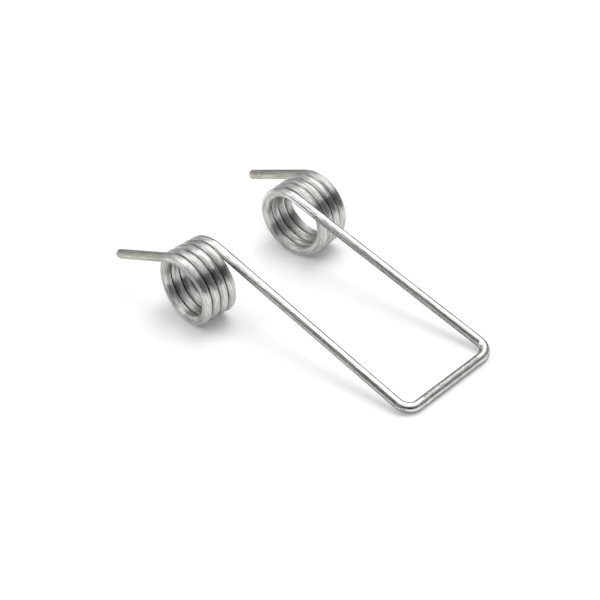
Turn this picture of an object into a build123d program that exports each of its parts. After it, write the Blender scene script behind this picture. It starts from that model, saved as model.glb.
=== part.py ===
from build123d import *
from math import acos, atan, cos, pi, radians, sin, tan
import os

# Double torsion spring, one round wire: tail, coil, leg, crossbar, leg, coil, tail.
# Millimetres. X runs from the coils to the crossbar, and Y from one coil to the other.
# The origin is midway between the middles of the two coils, on the arbor that would
# carry them. The spring lies on a level surface, on both coils and the crossbar.

# wire
wire_diameter = 2.0
end_rounding = 0.5           # tumbled edge of the two cut wire ends

# coils, close wound, one to each hand
coil_mean_diameter = 14.0    # to the wire's centreline
coil_turns = 4               # whole turns, before what the leg's and tail's slopes add
turn_gap = 0.03              # daylight between neighbouring turns
coil_spacing = 21.9          # between the inner ends of the coils, on the centrelines

# legs and crossbar, the U between the coils
leg_length = 51.6            # from the coil to the sharp corner of the centrelines
leg_splay = 1.0              # each leg opens outward from its coil, degrees
bend_radius = 2.8            # of the two corners, to the wire's centreline

# tails, the free arms outside the coils
tail_length = 17.3           # straight part, from the coil to the cut end
tail_drop = 22.4             # below the horizontal, degrees

# derived sizes
wire_radius = wire_diameter / 2
coil_radius = coil_mean_diameter / 2
pitch = wire_diameter + turn_gap
lead = atan(pitch / (pi * coil_mean_diameter))

# The leg runs off the top of the coil tangentially, and reaches the level of the
# coil's lowest wire just where the crossbar starts. That settles its slope.
leg_slope = 2 * atan(coil_radius / (leg_length * cos(lead)))

# Wire runs off a close-wound coil at the lead angle, so each coil sits turned by that
# much from square to its leg.
coil_yaw = radians(leg_splay) + atan(tan(lead) / cos(leg_slope))
coil_wrap = 2 * pi * coil_turns + leg_slope + radians(tail_drop)
coil_width = pitch * coil_wrap / (2 * pi)

# The coil on the -Y side starts at its leg and is wound outward. Its spoke points from
# its axis to the tangent point of the leg.
outward = Vector(-sin(coil_yaw), -cos(coil_yaw), 0)
ahead = Vector(cos(coil_yaw), -sin(coil_yaw), 0)
spoke = ahead * sin(leg_slope) + Vector(0, 0, 1) * cos(leg_slope)
coil_start = Vector(coil_width / 2 * sin(coil_yaw), -coil_spacing / 2, 0)
coil_frame = Plane(origin=coil_start, x_dir=spoke, z_dir=outward)

with BuildPart() as torsion_spring:
    # Half of the wire's centreline, from the middle of the crossbar to the cut end.
    # Each stretch leaves the one before it tangentially.
    with BuildLine() as centreline:
        helix = Helix(pitch, coil_width, coil_radius, mode=Mode.PRIVATE)
        coil = coil_frame.from_local_coords(helix)
        add(coil)

        into_coil = coil % 0
        corner = coil @ 0 - into_coil * leg_length
        into_corner = Vector(0, -1, 0)
        middle = Vector(corner.X, 0, corner.Z)
        setback = bend_radius * tan(acos(into_corner.dot(into_coil)) / 2)

        crossbar = Line(middle, corner - into_corner * setback)
        bend = TangentArc(crossbar @ 1, corner + into_coil * setback, tangent=into_corner)
        leg = Line(bend @ 1, coil @ 0)
        tail = Line(coil @ 1, coil @ 1 + (coil % 1) * tail_length)

    with BuildSketch(Plane(middle, z_dir=into_corner)) as section:
        Circle(wire_radius)
    sweep(path=centreline.line)

    cut_end = torsion_spring.faces().filter_by(GeomType.PLANE).sort_by_distance(tail @ 1)[0]
    fillet(cut_end.edges(), end_rounding)

    # The other half is the same wire wound to the other hand.
    mirror(about=Plane.XZ)

torsion_spring.part.label = "torsion_spring"
os.makedirs("parts", exist_ok=True)
export_step(torsion_spring.part, "parts/torsion_spring.step")
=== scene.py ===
# %% [markdown]
# # A double torsion spring
#
# One length of bright spring wire is bent into a U with a coil at the top of each leg and
# a short straight tail beyond each coil. In use a pin runs through both coils, the U
# presses on one part and the two tails on another. This lesson builds the spring the way
# a spring shop does: a straight wire is cut to length first, and bent afterwards.
#
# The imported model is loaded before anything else. It is the fixed frame that everything
# here has to agree with, in metres.

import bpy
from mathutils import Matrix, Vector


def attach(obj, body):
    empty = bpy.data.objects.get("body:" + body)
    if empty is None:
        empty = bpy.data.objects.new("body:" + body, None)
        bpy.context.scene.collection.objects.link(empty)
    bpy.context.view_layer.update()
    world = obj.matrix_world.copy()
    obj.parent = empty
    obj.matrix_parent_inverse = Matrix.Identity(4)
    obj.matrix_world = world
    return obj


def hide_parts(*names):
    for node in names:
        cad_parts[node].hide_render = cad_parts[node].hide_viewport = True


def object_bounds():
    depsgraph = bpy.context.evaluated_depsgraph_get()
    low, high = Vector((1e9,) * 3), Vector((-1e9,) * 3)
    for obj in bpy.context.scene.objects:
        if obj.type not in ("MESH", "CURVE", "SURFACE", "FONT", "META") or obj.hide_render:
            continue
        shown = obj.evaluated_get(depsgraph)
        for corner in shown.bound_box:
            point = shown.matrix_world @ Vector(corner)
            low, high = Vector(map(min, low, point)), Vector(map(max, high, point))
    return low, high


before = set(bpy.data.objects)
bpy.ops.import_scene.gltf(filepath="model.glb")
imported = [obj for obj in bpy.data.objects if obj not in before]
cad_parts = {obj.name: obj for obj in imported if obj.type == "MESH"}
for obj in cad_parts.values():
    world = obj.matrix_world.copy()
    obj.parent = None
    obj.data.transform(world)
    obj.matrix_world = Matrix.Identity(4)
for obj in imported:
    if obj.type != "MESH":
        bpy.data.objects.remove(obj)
cad_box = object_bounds()
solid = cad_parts["torsion_spring"]
print("CAD solid:", len(solid.data.polygons), "faces, box", *cad_box)

# %% Tools used on every page
from math import acos, atan, ceil, cos, degrees, pi, radians, sin, sqrt, tan

import bpy
import numpy as np
from mathutils import Matrix, Vector
from mathutils.bvhtree import BVHTree

MM = 0.001


def deselect():
    """Operators act on all that is selected, so every step starts with nothing selected."""
    bpy.ops.object.select_all(action="DESELECT")


# %% [markdown]
# ## The sizes
#
# These are the sizes that the solid was made with. The wire is 2 mm across, the coils are
# close wound with only a hair of daylight between the turns, and the legs run down from
# the tops of the coils so that the crossbar touches the table.

# %% Sizes of the spring
wire_radius = 1.0 * MM
end_rounding = 0.5 * MM
coil_radius = 7.0 * MM
coil_turns = 4
turn_gap = 0.03 * MM
coil_spacing = 21.9 * MM
leg_length = 51.6 * MM
leg_splay = radians(1.0)
bend_radius = 2.8 * MM
tail_length = 17.3 * MM
tail_drop = radians(22.4)

pitch = 2 * wire_radius + turn_gap
lead = atan(pitch / (2 * pi * coil_radius))
leg_slope = 2 * atan(coil_radius / (leg_length * cos(lead)))
coil_yaw = leg_splay + atan(tan(lead) / cos(leg_slope))
coil_wrap = 2 * pi * coil_turns + leg_slope + tail_drop
print(f"leg slope {degrees(leg_slope):.2f} deg, each coil wraps {degrees(coil_wrap):.1f} deg")

# %% [markdown]
# ## The line that the wire follows
#
# A wire has no corners: each straight run leaves the arc before it in the same direction.
# So the line is worked out stretch by stretch, from the middle of the crossbar to the end
# of one tail: straight, corner bend, straight leg, helix, straight tail. The other half is
# its mirror image. A curve object holds the line, because a Curve modifier can then bend a
# straight wire along it.

# %% Directions and corners of one half
coil_width = pitch * coil_wrap / (2 * pi)
outward = Vector((-sin(coil_yaw), -cos(coil_yaw), 0))
ahead = Vector((cos(coil_yaw), -sin(coil_yaw), 0))
spoke = ahead * sin(leg_slope) + Vector((0, 0, 1)) * cos(leg_slope)
side = outward.cross(spoke)
coil_start = Vector((coil_width / 2 * sin(coil_yaw), -coil_spacing / 2, 0))


def coil_point(turned):
    """Point of the coil's centreline after the wire has turned through this angle."""
    around = spoke * cos(turned) + side * sin(turned)
    return coil_start + around * coil_radius + outward * (pitch * turned / (2 * pi))


def coil_direction(turned):
    """Direction of the wire there."""
    around = side * cos(turned) - spoke * sin(turned)
    return (around * coil_radius + outward * (pitch / (2 * pi))).normalized()


into_corner = Vector((0, -1, 0))
into_coil = coil_direction(0)
corner = coil_point(0) - into_coil * leg_length
turn = acos(into_corner.dot(into_coil))
setback = bend_radius * tan(turn / 2)
bend_start = corner - into_corner * setback
inward = (into_coil - into_corner * into_corner.dot(into_coil)).normalized()


def bend_point(turned):
    """Point of the corner bend's centreline."""
    centre = bend_start + inward * bend_radius
    return centre + (into_corner * sin(turned) - inward * cos(turned)) * bend_radius


print(f"corner at x {corner.x / MM:.2f}, y {corner.y / MM:.2f}, z {corner.z / MM:.2f} mm")

# %% The whole line as a curve
crossbar_run = abs(bend_start.y)
bend_run = bend_radius * turn
leg_run = leg_length - setback
coil_run = coil_radius * coil_wrap / cos(lead)
half_runs = (tail_length, coil_run, leg_run, bend_run)
runs = (*half_runs, 2 * crossbar_run, *reversed(half_runs))


def straight(start, direction, length, step=0.5 * MM):
    """Points along a straight run, its start left out."""
    count = ceil(length / step)
    return [start + direction * (length * i / count) for i in range(1, count + 1)]


bend_steps, coil_steps = 30, 1000
bar_middle = Vector((corner.x, 0, corner.z))
half = straight(bar_middle, into_corner, crossbar_run)
half += [bend_point(turn * i / bend_steps) for i in range(1, bend_steps + 1)]
half += straight(half[-1], into_coil, leg_run)
half += [coil_point(coil_wrap * i / coil_steps) for i in range(1, coil_steps + 1)]
half += straight(half[-1], coil_direction(coil_wrap), tail_length)
other_half = [Vector((p.x, -p.y, p.z)) for p in reversed(half)]
line = other_half + [bar_middle] + half

path = bpy.data.curves.new("wire_path", "CURVE")
path.dimensions = "3D"
path.twist_mode = "MINIMUM"
spline = path.splines.new("POLY")
spline.points.add(len(line) - 1)
for point, place in zip(spline.points, line):
    point.co = (*place, 1)
wire_path = bpy.data.objects.new("wire_path", path)
bpy.context.collection.objects.link(wire_path)
cut_length = sum(runs)
print(f"the wire is cut to {cut_length / MM:.1f} mm, and the line has {len(line)} points")

# %% [markdown]
# ## The straight wire
#
# The wire starts as a circle that is extruded one stretch at a time. Where it will be
# bent, a stretch needs many rings, and where it stays straight, only a few, so each
# stretch is then cut across by Subdivide Edge-Ring. The two cut ends are closed, and
# their edges are rounded, because a sheared end is tumbled smooth.

# %% Extrude the stretches
points_round = 64
deselect()
bpy.ops.mesh.primitive_circle_add(vertices=points_round, radius=wire_radius, rotation=(0, pi / 2, 0))
wire = bpy.context.object
wire.name = "bent_wire"
bpy.ops.object.transform_apply(rotation=True)
bpy.context.tool_settings.mesh_select_mode = (False, True, False)
bpy.ops.object.mode_set(mode="EDIT")
bpy.ops.mesh.select_all(action="SELECT")
for run in runs:
    bpy.ops.mesh.extrude_region_move(TRANSFORM_OT_translate={"value": (run, 0, 0)})
bpy.ops.object.mode_set(mode="OBJECT")
print(f"straight wire: {wire.dimensions.x / MM:.1f} mm long")


# %% Cut each stretch across
def select_edges(low, high):
    """Selects the wire's edges that start and end at these distances along it."""
    bpy.ops.object.mode_set(mode="OBJECT")
    mesh = wire.data
    places = np.empty(len(mesh.vertices) * 3)
    mesh.vertices.foreach_get("co", places)
    pairs = np.empty(len(mesh.edges) * 2, int)
    mesh.edges.foreach_get("vertices", pairs)
    reach = np.sort(places[0::3][pairs.reshape(-1, 2)], axis=1)
    chosen = np.isclose(reach, (low, high), atol=0.01 * MM).all(axis=1)
    mesh.vertices.foreach_set("select", np.zeros(len(mesh.vertices), bool))
    mesh.polygons.foreach_set("select", np.zeros(len(mesh.polygons), bool))
    mesh.edges.foreach_set("select", chosen)
    bpy.ops.object.mode_set(mode="EDIT")


# The gap from ring to ring: on a tail, a coil, a leg, a corner bend and the crossbar.
ring_gaps = [gap * MM for gap in (1.5, 0.5, 2.0, 0.26, 2.0, 0.26, 2.0, 0.5, 1.5)]
start = 0
for run, gap in zip(runs, ring_gaps):
    select_edges(start, start + run)
    bpy.ops.mesh.subdivide_edgering(number_cuts=ceil(run / gap) - 1, interpolation="LINEAR")
    start += run
print("rings on each stretch:", *(ceil(run / gap) for run, gap in zip(runs, ring_gaps)))

# %% Close and round the two ends
rounding_steps = 6
for end in (0, cut_length):
    select_edges(end, end)
    bpy.ops.mesh.edge_face_add()
    select_edges(end, end)
    bpy.ops.mesh.bevel(offset=end_rounding, segments=rounding_steps, profile=0.5)
bpy.ops.mesh.select_all(action="SELECT")
bpy.ops.mesh.normals_make_consistent(inside=False)
bpy.ops.object.mode_set(mode="OBJECT")
print("wire before bending:", len(wire.data.vertices), "points,", len(wire.data.polygons), "faces")

# %% [markdown]
# ## Bending
#
# Drawing a wire through its die leaves marks that run along it, and they follow it round
# every bend. So before it is bent, each point of the mesh writes down where it is on the
# straight wire. The metal's pattern is laid out in those places later, and it bends with
# the wire, with no seam. Then the Curve modifier bends the wire, and is applied.

# %% Remember the straight wire
places = np.empty(len(wire.data.vertices) * 3)
wire.data.vertices.foreach_get("co", places)
straight_place = wire.data.attributes.new("straight_place", "FLOAT_VECTOR", "POINT")
straight_place.data.foreach_set("vector", places)
along_wire, sideways, upward = places.reshape(-1, 3).T
print(f"places run from {along_wire.min() / MM:.1f} to {along_wire.max() / MM:.1f} mm")

# %% [markdown]
# The skin of the straight wire can also be unrolled flat, like the label of a tin. That
# makes a UV map in which U runs along the wire and V runs round it. The metal needs it
# to know which way the wire was drawn, because brushed and drawn metal shines in one way
# along its lines and in another way across them.

# %% Unroll the skin
faces = wire.data.polygons
middles = np.empty(len(faces) * 3)
faces.foreach_get("center", middles)
corner_counts = np.empty(len(faces), dtype=int)
faces.foreach_get("loop_total", corner_counts)
corners = np.empty(len(wire.data.loops), dtype=int)
wire.data.loops.foreach_get("vertex_index", corners)

# A face on the seam has corners at both ends of the circle, so each corner is placed by
# how far round it is from the middle of its own face.
face_turns = np.repeat(np.arctan2(middles[2::3], middles[1::3]), corner_counts)
corner_turns = np.arctan2(upward, sideways)[corners]
from_middle = (corner_turns - face_turns + pi) % (2 * pi) - pi
u = along_wire[corners] / (2 * pi * wire_radius)
v = (face_turns + from_middle) / (2 * pi)
unrolled = wire.data.uv_layers.new(name="unrolled")
unrolled.data.foreach_set("uv", np.column_stack([u, v]).ravel())
print(f"the skin is {u.max():.1f} times as long as it is wide")

# %% Bend the wire
wire_path.data.use_stretch = True
wire_path.data.use_deform_bounds = True
bend = wire.modifiers.new("bend", "CURVE")
bend.object = wire_path
bend.deform_axis = "POS_X"
bpy.ops.object.modifier_apply(modifier=bend.name)
bpy.data.objects.remove(wire_path)
sharp_angle = radians(40)
bpy.ops.object.shade_smooth_by_angle(angle=sharp_angle)
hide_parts("torsion_spring")
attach(wire, "root")
print("bent wire:", *(f"{size / MM:.2f}" for size in wire.dimensions), "mm")

# %% Compare it with the solid
bpy.context.view_layer.update()
skin = BVHTree.FromPolygons(
    [v.co for v in solid.data.vertices], [p.vertices for p in solid.data.polygons]
)
every = 7
off = max(skin.find_nearest(v.co)[3] for v in list(wire.data.vertices)[::every])
print(f"farthest point from the solid's skin: {off / MM:.4f} mm")
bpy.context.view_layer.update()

# %% [markdown]
# ## The table and the camera
#
# The spring lies on a white table on its two coils and its crossbar. The camera stands off
# the near corner of the crossbar and looks down on it through a long lens, from far
# enough away that the two legs stay nearly parallel.

# %% The table top
table_size = 2.0
deselect()
bpy.ops.mesh.primitive_plane_add(size=table_size, location=(0, 0, cad_box[0].z))
table = bpy.context.object
table.name = "table"
print(f"the table is at {cad_box[0].z / MM:.3f} mm")

# %% The camera
image_size = 600
focal_length = 1809.86
azimuth, elevation, roll = radians(45.798), radians(37.115), radians(-3.367)
distance = 362.213 * MM
look = Vector((12.103, 0.785, -8.0)) * MM

camera_data = bpy.data.cameras.new("camera")
camera_data.sensor_width = 36
camera_data.lens = focal_length * camera_data.sensor_width / image_size
camera_data.clip_start, camera_data.clip_end = 0.01, 100
camera = bpy.data.objects.new("camera", camera_data)
bpy.context.collection.objects.link(camera)
bpy.context.scene.camera = camera
aim = Matrix.Rotation(azimuth, 3, "Z") @ Matrix.Rotation(pi / 2 - elevation, 3, "X")
aim = aim @ Matrix.Rotation(roll, 3, "Z")
camera.matrix_world = Matrix.LocRotScale(look + aim.col[2] * distance, aim, None)
print(f"lens {camera_data.lens:.1f} mm, standing at", camera.location)

# %% [markdown]
# ## The room
#
# Bright metal has hardly any colour of its own. What shows is the room around it, bent
# round the wire, so the room is what gets designed. It is painted by compass direction,
# in three bands from the horizon up: a skirting, the walls and the ceiling. The dark
# walls on the camera's side draw the dark bands across the coils and along the legs. The
# dark skirting at the back draws the hair-thin line along the top edge of each leg. The
# pale walls on the left fill the flanks, and the ceiling lights all that faces up.

# %% A helper that adds nodes
def node(tree, kind, inputs=None, **settings):
    """Adds a node. Each input is a number, a colour or vector, or another node's output."""
    made = tree.nodes.new(kind)
    for name, value in settings.items():
        setattr(made, name, value)
    for key, value in (inputs or {}).items():
        if isinstance(value, bpy.types.NodeSocket):
            tree.links.new(value, made.inputs[key])
        else:
            made.inputs[key].default_value = value
    return made


def blend(tree, factor, first, second):
    """Mixes two colours. The Mix node keeps its colour sockets at 6, 7 and, going out, 2."""
    inputs = {0: factor, 6: first, 7: second}
    return node(tree, "ShaderNodeMix", inputs, data_type="RGBA").outputs[2]


def between(tree, value, low, high, to_low=0, to_high=1):
    """Runs smoothly from one value to another between two limits."""
    limits = {"From Min": low, "From Max": high, "To Min": to_low, "To Max": to_high}
    inputs = {"Value": value, **limits}
    return node(tree, "ShaderNodeMapRange", inputs, interpolation_type="SMOOTHSTEP").outputs[0]


# %% How bright the room is, by compass direction
# Degrees from the -Y side, turning by +X, +Y and -X, and the brightness there.
skirting = [(0, 0.36), (20, 0.05), (66, 0.03), (90, 0.14), (120, 0.24), (150, 0.20), (175, 0.08)]
skirting += [(240, 0.08), (262, 0.48), (285, 0.56), (310, 0.60), (325, 0.46), (337, 0.12), (350, 0.16)]
walls = [(0, 0.36), (20, 0.05), (66, 0.03), (90, 0.14), (120, 0.30), (160, 0.30), (175, 0.50)]
walls += [(218, 0.78), (240, 0.80), (285, 0.60), (310, 0.62), (325, 0.48), (337, 0.12), (350, 0.16)]
ceiling = [(0, 0.60), (25, 0.85), (200, 0.85), (322, 0.85), (336, 0.20), (350, 0.20)]
skirting_top, walls_start = 14, 28
walls_top, ceiling_start = 38, 60
print("painted at", len(skirting), "places low,", len(walls), "half-way and", len(ceiling), "high")

# %% Find the compass direction
world = bpy.data.worlds.new("studio")
bpy.context.scene.world = world
world.use_nodes = True
room = world.node_tree
sky = node(room, "ShaderNodeTexCoord").outputs["Generated"]
toward = node(room, "ShaderNodeSeparateXYZ", {0: sky}).outputs
west = node(room, "ShaderNodeMath", {0: toward["X"], 1: -1}, operation="MULTIPLY").outputs[0]
angle = node(room, "ShaderNodeMath", {0: west, 1: toward["Y"]}, operation="ARCTAN2").outputs[0]
part_round = {0: angle, 1: 0.5 / pi, 2: 0.5}
compass = node(room, "ShaderNodeMath", part_round, operation="MULTIPLY_ADD").outputs[0]
print(len(room.nodes), "nodes find the direction")


# %% Paint the three bands
def painted(levels):
    """Paints these levels round the room, and comes back to the first one."""
    ramp = node(room, "ShaderNodeValToRGB", {0: compass})
    ramp.color_ramp.interpolation = "EASE"
    stops = levels + [(360, levels[0][1])]
    for place, level in stops[1:-1]:
        ramp.color_ramp.elements.new(place / 360)
    for stop, (place, level) in zip(ramp.color_ramp.elements, stops):
        stop.position = place / 360
        stop.color = (level, level, level, 1)
    return ramp.outputs[0]


def risen(low, high):
    """Goes from 0 to 1 between two heights above the horizon, in degrees."""
    return between(room, toward["Z"], sin(radians(low)), sin(radians(high)))


sides = blend(room, risen(skirting_top, walls_start), painted(skirting), painted(walls))
lit_room = blend(room, risen(walls_top, ceiling_start), sides, painted(ceiling))
print(len(room.nodes), "nodes paint the room")

# %% The white that the camera sees
# The camera itself sees plain white behind the table, whatever the metal reflects.
is_camera = node(room, "ShaderNodeLightPath").outputs["Is Camera Ray"]
seen = blend(room, is_camera, lit_room, (1, 1, 1, 1))
room.links.new(seen, room.nodes["Background"].inputs["Color"])
room.nodes["Background"].inputs["Strength"].default_value = 1.0
bpy.context.scene.view_settings.view_transform = "Standard"
print("view transform:", bpy.context.scene.view_settings.view_transform)


# %% [markdown]
# Four softboxes stand in the room. The wide one overhead and the smaller, brighter one
# in it throw the soft shadows, which gather close under the coils because the light comes
# from above. The window at the back right draws the white band on the coils and legs, and
# the card held close on the left lights the coils' rims. An area lamp's power is spread
# over its surface, so the brightness is given and the power is worked out from it.

# %% Softboxes
def softbox(name, place, turned, size, brightness):
    """A glowing rectangle. Its brightness is that of its surface."""
    data = bpy.data.lights.new(name, "AREA")
    data.shape = "RECTANGLE"
    data.size, data.size_y = size
    data.energy = brightness * size[0] * size[1] * pi
    lamp = bpy.data.objects.new(name, data)
    lamp.location, lamp.rotation_euler = place, turned
    lamp.visible_camera = False
    bpy.context.collection.objects.link(lamp)
    print(f"{name}: {data.energy:.2f} W")


def aimed(compass_degrees, height, far, target=(0, 0, 0)):
    """Place and turn of a lamp that looks at the target from this direction."""
    turned = Matrix.Rotation(radians(compass_degrees), 3, "Z")
    turned = turned @ Matrix.Rotation(radians(90 - height), 3, "X")
    return Vector(target) + turned.col[2] * far, turned.to_euler()


near_coil = (0, -0.015, 0)
softbox("overhead", (0.14, 0.09, 0.8), (0, 0, 0), (1.08, 0.90), 0.75)
softbox("key", (0.08, 0.20, 0.8), (0, 0, 0), (0.44, 0.44), 3.2)
softbox("window", *aimed(196, 43, 1.0), (0.57, 0.62), 1.1)
softbox("card", *aimed(325, 42, 0.16, near_coil), (0.09, 0.12), 1.1)

# %% The white table
# A little glow lifts the table to white for the camera and in the metal's reflections.
# Light that the table passes on to anything else comes from the lamps alone.
table_glow, table_white = 0.12, 0.88
white = bpy.data.materials.new("table_top")
white.use_nodes = True
paint = white.node_tree
surface = paint.nodes["Principled BSDF"]
surface.inputs["Base Color"].default_value = (table_white, table_white, table_white, 1)
surface.inputs["Roughness"].default_value = 0.9
ray = node(paint, "ShaderNodeLightPath").outputs
shown = ray["Is Camera Ray"]
for kind in ("Is Glossy Ray", "Is Transmission Ray"):
    shown = node(paint, "ShaderNodeMath", {0: shown, 1: ray[kind]}, operation="MAXIMUM").outputs[0]
glow = node(paint, "ShaderNodeMath", {0: shown, 1: table_glow}, operation="MULTIPLY").outputs[0]
surface.inputs["Emission Color"].default_value = (1, 1, 1, 1)
paint.links.new(glow, surface.inputs["Emission Strength"])
table.data.materials.append(white)
print(f"the table reflects {table_white:.0%} of the light and glows by {table_glow:.0%}")

# %% [markdown]
# ## Where the wire is marked
#
# Some marks depend on where they lie on the wire, so each point of the mesh writes down how
# much of them it has. The thin dark line between two turns, where they press together, is
# painted shade. The flanks that face -Y are painted darker as shade, with specks in it, more
# on the legs than on the coils. The top of the crossbar and the inner side of one leg are
# scuffed from lying among other springs. The marks fade out over a few millimetres, as real
# ones do.

# %% Which way each point faces
facing = np.empty(len(places))
wire.data.vertices.foreach_get("normal", facing)
facing = facing.reshape(-1, 3)
from_end = cut_length / 2 - abs(along_wire - cut_length / 2)
near_half = along_wire > cut_length / 2
coil_axes = np.where(near_half[:, None], tuple(outward), (outward.x, -outward.y, 0))
faces_outward = (facing * coil_axes).sum(axis=1)
print(f"{near_half.mean():.0%} of the points are in the near half")

# %% How far round its coil, and on which straight
coil_starts = tail_length + coil_run
bar_starts = cut_length / 2 - crossbar_run
wound = coil_wrap * (coil_starts - from_end) / coil_run
has_outer = (wound > 0) & (wound < coil_wrap - 2 * pi)
has_inner = (wound > 2 * pi) & (wound < coil_wrap)
coil_fade, corner_fade, bar_fade, turn_fade = 6 * MM, 1.5 * MM, 2 * MM, radians(20)
on_leg = ((from_end - coil_starts) / coil_fade).clip(0, 1)
on_leg *= ((bar_starts - from_end) / corner_fade).clip(0, 1)
on_turns = (np.minimum(wound, coil_wrap - wound) / turn_fade).clip(0, 1)
on_bar = ((from_end - bar_starts) / bar_fade).clip(0, 1)
on_far_leg = on_leg * ~near_half
print(f"legs and bends: {(on_leg > 0).mean():.0%} of the points, crossbar: {(on_bar > 0).mean():.0%}")


# %% Write the marks down
def keep(name, values):
    """Keeps one number for each point of the wire, for the metal to read."""
    numbers = wire.data.attributes.new(name, "FLOAT", "POINT")
    numbers.data.foreach_set("value", values.clip(0, 1))
    print(f"{name}: {(values > 0.5).mean():.1%} of the points")


# The flanks that face -Y get painted shade, with specks in it, more on the legs than the coils.
far_leg_flank_shade, coil_flank_shade = 0.76, 0.66
bar_all_round, leg_scuffing = 0.57, 0.62
# in_groove: how squarely a point faces the next turn, where the metal gets painted shade.
keep("in_groove", np.maximum(faces_outward * has_outer, -faces_outward * has_inner))
leg_flank_shade = np.where(near_half, 1.0, far_leg_flank_shade) * on_leg
keep("shaded_flank", -facing[:, 1] * np.maximum(leg_flank_shade, coil_flank_shade * on_turns))
bar_scuffs = facing[:, 2].clip(bar_all_round, 1) * on_bar
inner_side = -np.minimum(facing[:, 1], (facing[:, 0] + facing[:, 1]) / sqrt(2))
keep("scuffed", np.maximum(bar_scuffs, leg_scuffing * inner_side * on_far_leg))

# %% [markdown]
# ## Drawn wire
#
# The wire was pulled through a hard steel die. That leaves fine lines that run along it,
# a tenth of a millimetre or so apart and a few millimetres long, with faint ticks between
# them where the die chattered, and small specks in the skin. All of these are noise laid
# out on the straight wire, stretched along it for the lines and not for the specks.

# %% The metal and its noise
metal = bpy.data.materials.new("spring_wire")
metal.use_nodes = True
steel = metal.node_tree
straight_wire = node(steel, "ShaderNodeAttribute", attribute_name="straight_place").outputs["Vector"]


def noise(along, around, detail, roughness):
    """Noise on the straight wire: so many cells to a metre along it and around it."""
    stretch = {"Vector": straight_wire, "Scale": (along, around, around)}
    laid = node(steel, "ShaderNodeMapping", stretch).outputs[0]
    inputs = {"Vector": laid, "Scale": 1.0, "Detail": detail, "Roughness": roughness}
    return node(steel, "ShaderNodeTexNoise", inputs).outputs[0]


def scaled(value, by, plus=0.0):
    """Multiplies one value by another, and adds a third."""
    return node(steel, "ShaderNodeMath", {0: value, 1: by, 2: plus}, operation="MULTIPLY_ADD").outputs[0]


def marks(name, low, high):
    """Reads a mark that the wire's points have written down, as 0 to 1."""
    mark = node(steel, "ShaderNodeAttribute", attribute_name=name).outputs["Fac"]
    return between(steel, mark, low, high)


die_lines = noise(500, 6500, 1, 0.5)
long_lines = noise(140, 8500, 1, 0.6)
thin_lines = noise(220, 13000, 0, 0.5)
ticks = noise(5200, 2600, 1, 0.5)
combed_lines = noise(1300, 9000, 0, 0.5)
specks = noise(5200, 5200, 2, 0.6)
print(len(steel.nodes), "nodes hold the six patterns")

# %% [markdown]
# The tails look browner and duller than the rest. They are the ends that were held while
# the coils were wound, and they were left as the drawing bench left them. Winding rubs
# the coils bright, and it combs their skin: a combed skin spreads a highlight across the
# wire and leaves it sharp along the wire. The combed lines are short and a little uneven,
# which frays the ends of the bright and dark bands. So the material needs to know, at
# each point, how far it is from the middle of the wire.

# %% Tails, coils and legs
along = node(steel, "ShaderNodeSeparateXYZ", {0: straight_wire}).outputs["X"]
to_middle = node(steel, "ShaderNodeMath", {0: along, 1: cut_length / 2}, operation="SUBTRACT")
off_middle = node(steel, "ShaderNodeMath", {0: to_middle.outputs[0]}, operation="ABSOLUTE").outputs[0]
leg_ends = cut_length / 2 - coil_starts
coil_ends = cut_length / 2 - tail_length
on_coil = between(steel, off_middle, leg_ends - 3 * MM, leg_ends + 8 * MM)
on_tail = between(steel, off_middle, coil_ends - 2 * MM, coil_ends + 3 * MM)
print(f"coils from {leg_ends / MM:.1f} to {coil_ends / MM:.1f} mm off the middle of the wire")

# %% Colour
bright_steel, dull_steel = (0.835, 0.835, 0.812, 1), (0.60, 0.602, 0.580, 1)
bright_tail, dull_tail = (0.595, 0.580, 0.538, 1), (0.455, 0.440, 0.400, 1)
# The grey is that of scuffs and scores, and also painted shade on the -Y flanks.
# groove_shade is painted shade for the crevice between two turns.
worn_and_shaded_grey, groove_shade = (0.064, 0.065, 0.056, 1), (0.03, 0.03, 0.028, 1)

dulled = between(steel, scaled(specks, 0.3, scaled(die_lines, 0.7)), 0.44, 0.54, 1, 0)
rubbed_colour = blend(steel, dulled, bright_steel, dull_steel)
drawn_colour = blend(steel, dulled, bright_tail, dull_tail)
colour = blend(steel, on_tail, rubbed_colour, drawn_colour)
print("steel from", dull_steel[:3], "to", bright_steel[:3])
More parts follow.
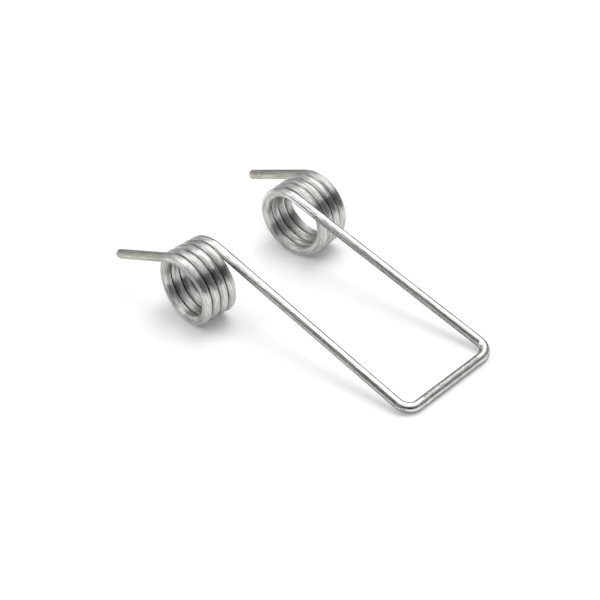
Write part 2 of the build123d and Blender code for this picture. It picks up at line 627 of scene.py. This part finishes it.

# %% Scores, scuffs, and painted shade on the flanks and in the grooves
long_shade, thin_shade, shade_on_legs = 0.30, 0.36, 0.10
long_scores = scaled(between(steel, long_lines, 0.57, 0.61), long_shade)
scores = scaled(between(steel, thin_lines, 0.56, 0.60), thin_shade, long_scores)
scores = scaled(scores, scaled(on_coil, 1 - shade_on_legs, shade_on_legs))
speckled = between(steel, specks, 0.43, 0.57, 0.66, 0.06)
shaded_flank, scuffed = marks("shaded_flank", 0.50, 0.85), marks("scuffed", 0.45, 0.75)
# Painted shade: the -Y flanks turn a speckled grey; scuffs and scores grey the skin too.
greyed = scaled(shaded_flank, scaled(speckled, 0.75, 0.15), scores)
greyed = scaled(scuffed, scaled(speckled, 0.80, 0.14), greyed)
colour = blend(steel, greyed, colour, worn_and_shaded_grey)
# Painted shade: the thin dark line between two turns.
colour = blend(steel, marks("in_groove", 0.88, 0.94), colour, groove_shade)
print(len(steel.nodes), "nodes with the marks")

# %% Gloss
smoothest, roughest = 0.12, 0.20
combing, flank_roughness, scuffing = 0.17, 0.12, 0.22
gloss_lines = between(steel, long_lines, 0.40, 0.60, smoothest, roughest)
roughness = scaled(on_coil, combing, gloss_lines)
roughness = scaled(scuffed, scuffing, scaled(shaded_flank, flank_roughness, roughness))
steep_gloss, even_gloss = (0.08, 0.08, 0.08, 1), (0.9, 0.9, 0.9, 1)
edge_tint = blend(steel, on_coil, steep_gloss, even_gloss)
drawn_way = node(steel, "ShaderNodeTangent", direction_type="UV_MAP", uv_map="unrolled").outputs[0]
print(f"roughness {smoothest} to {roughest} on the legs, and {combing} more on the coils")

# %% Bumps
# How much each pattern raises the skin, in parts of the bump depth.
thin_part, speck_part, die_part, tick_part, combed_part = 0.4, 0.15, 0.9, 0.2, 2.0
bump_depth = 0.022 * MM
height = scaled(thin_lines, thin_part, scaled(specks, speck_part))
height = scaled(ticks, tick_part, scaled(die_lines, die_part, height))
height = scaled(combed_lines, scaled(on_coil, combed_part), height)
bump = {"Strength": 1.0, "Distance": bump_depth, "Height": height}
bumps = node(steel, "ShaderNodeBump", bump).outputs[0]
print(f"the bump depth is {bump_depth / MM:.3f} mm")

# %% Put the metal together
quarter_turn = 0.25
shader = steel.nodes["Principled BSDF"]
shader.inputs["Metallic"].default_value = 1.0
shader.inputs["Anisotropic Rotation"].default_value = quarter_turn
steel.links.new(on_coil, shader.inputs["Anisotropic"])
steel.links.new(drawn_way, shader.inputs["Tangent"])
steel.links.new(edge_tint, shader.inputs["Specular Tint"])
steel.links.new(colour, shader.inputs["Base Color"])
steel.links.new(roughness, shader.inputs["Roughness"])
steel.links.new(bumps, shader.inputs["Normal"])
wire.data.materials.append(metal)
print(len(steel.nodes), "nodes in the metal")
